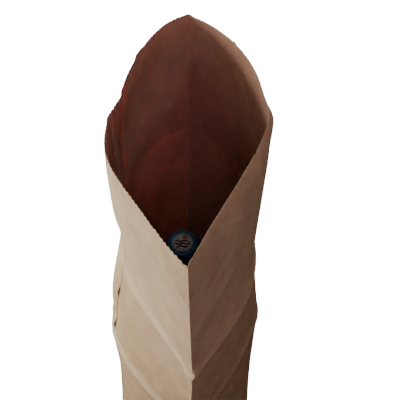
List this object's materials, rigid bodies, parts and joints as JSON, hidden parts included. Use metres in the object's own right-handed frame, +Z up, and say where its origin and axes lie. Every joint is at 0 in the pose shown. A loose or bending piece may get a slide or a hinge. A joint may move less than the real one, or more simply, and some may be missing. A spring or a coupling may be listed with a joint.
{
  "type": "open paper sack holding a capped bottle",
  "caption": "Tall brown kraft paper sack with a block bottom, standing open, its mouth cut with small teeth, with a capped plastic bottle standing inside.",
  "frame": {"origin": "on the floor, below the middle of the sack's box", "axes": "+Z up through the open mouth; -Y towards the near crease, +Y towards the far crease, +X to the right face"},
  "size_m": [0.1529, 0.3116, 0.456],
  "materials": {
    "kraft_paper": "matte unbleached kraft, fine fibres, soft creases",
    "clear_plastic": "glossy blue-tinted bottle plastic, full of water",
    "blue_plastic": "satin moulded plastic with a printed off-white disc"
  },
  "bodies": {
    "root": {"sack": "kraft_paper", "bottle": "clear_plastic", "cap": "blue_plastic"}
  },
  "joints": []
}
